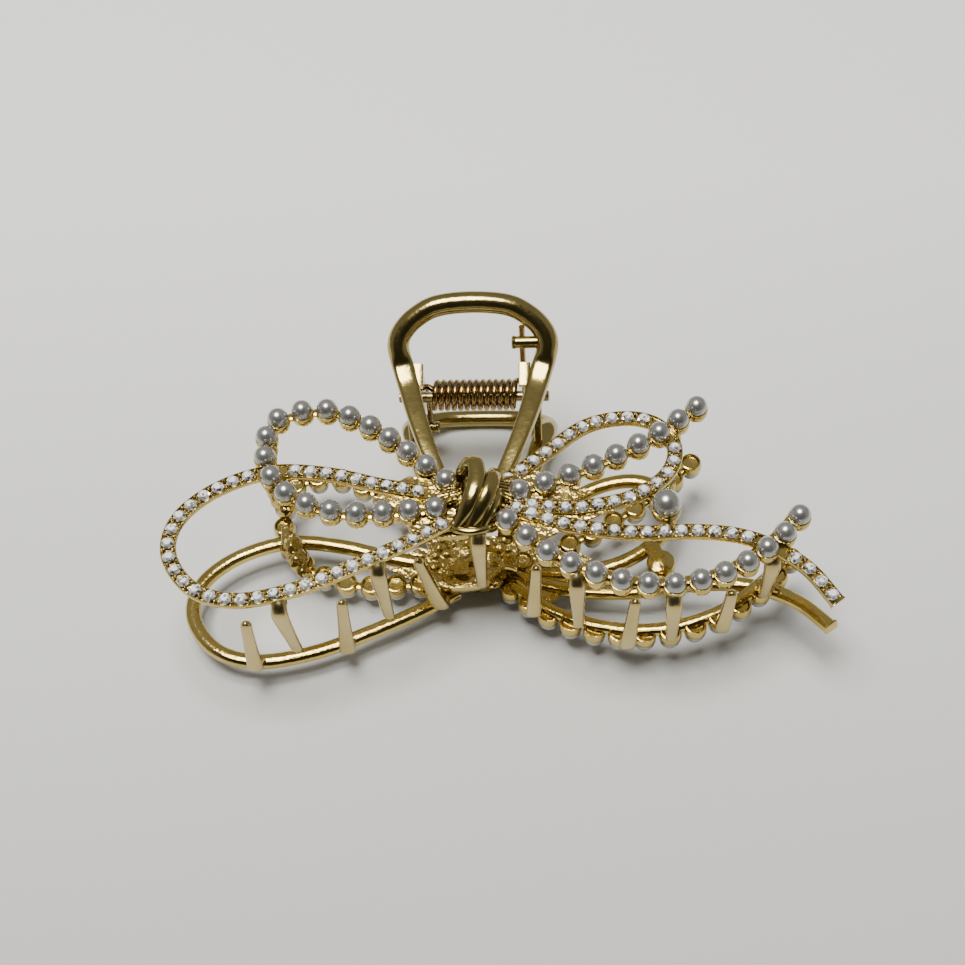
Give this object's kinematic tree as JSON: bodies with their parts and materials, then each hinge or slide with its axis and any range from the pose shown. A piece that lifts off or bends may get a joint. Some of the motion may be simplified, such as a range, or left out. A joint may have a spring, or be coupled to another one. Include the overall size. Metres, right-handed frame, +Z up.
{
  "type": "rhinestone hair claw clip",
  "caption": "Gold-plated bow-shaped hair claw with stone and pearl rows; squeezing its two finger loops opens the sprung jaws.",
  "frame": {"origin": "middle of the flat on the lower jaw's knot, on the surface that the clip lies on", "axes": "+X along the bow from its loops to its tail, +Y from the teeth to the finger loops, +Z up, away from the surface"},
  "size_m": [0.0921, 0.0502, 0.032],
  "materials": {
    "gold": "polished pale gold plating",
    "pearl": "pearl lustre",
    "crystal": "faceted, silver-backed",
    "spring": "drawn wire with a gold wash"
  },
  "bodies": {
    "lower_jaw": {"hinge_pin": "gold", "lower_big_pearl": "pearl", "lower_big_pearl_cup": "gold", "lower_front_pearl_rail": "gold", "lower_front_pearls": "pearl", "lower_handle_frame": "gold", "lower_knot": "gold", "lower_left_pearl_rail": "gold", "lower_left_pearls": "pearl", "lower_left_root_rail": "gold", "lower_left_root_stones": "crystal", "lower_left_tip_rail": "gold", "lower_left_tip_stones": "crystal", "lower_right_pearl_rail": "gold", "lower_right_pearls": "pearl", "lower_right_root_rail": "gold", "lower_right_root_stones": "crystal", "lower_right_tip_rail": "gold", "lower_right_tip_stones": "crystal", "lower_tail_root_rail": "gold", "lower_tail_root_stones": "crystal", "lower_tail_tip_rail": "gold", "lower_tail_tip_stones": "crystal", "lower_tooth_1": "gold", "lower_tooth_2": "gold", "lower_tooth_3": "gold", "lower_tooth_4": "gold", "lower_tooth_5": "gold", "lower_tooth_6": "gold", "torsion_spring": "spring"},
    "upper_jaw": {"upper_big_pearl": "pearl", "upper_big_pearl_cup": "gold", "upper_front_pearl_rail": "gold", "upper_front_pearls": "pearl", "upper_handle_frame": "gold", "upper_knot": "gold", "upper_left_pearl_rail": "gold", "upper_left_pearls": "pearl", "upper_left_root_rail": "gold", "upper_left_root_stones": "crystal", "upper_left_tip_rail": "gold", "upper_left_tip_stones": "crystal", "upper_right_pearl_rail": "gold", "upper_right_pearls": "pearl", "upper_right_root_rail": "gold", "upper_right_root_stones": "crystal", "upper_right_tip_rail": "gold", "upper_right_tip_stones": "crystal", "upper_tail_root_rail": "gold", "upper_tail_root_stones": "crystal", "upper_tail_tip_rail": "gold", "upper_tail_tip_stones": "crystal", "upper_tooth_1": "gold", "upper_tooth_2": "gold", "upper_tooth_3": "gold", "upper_tooth_4": "gold", "upper_tooth_5": "gold", "upper_tooth_6": "gold"}
  },
  "joints": [
    {"name": "jaw_hinge", "type": "hinge", "parent": "lower_jaw", "child": "upper_jaw", "pos_m": [-0.0013, 0.02325, 0.01559], "axis": [-1, 0, 0], "range_deg": [0, 60], "stiffness_Nm_per_rad": 0.06, "springref_deg": -57.3, "deforming": ["torsion_spring"]}
  ]
}
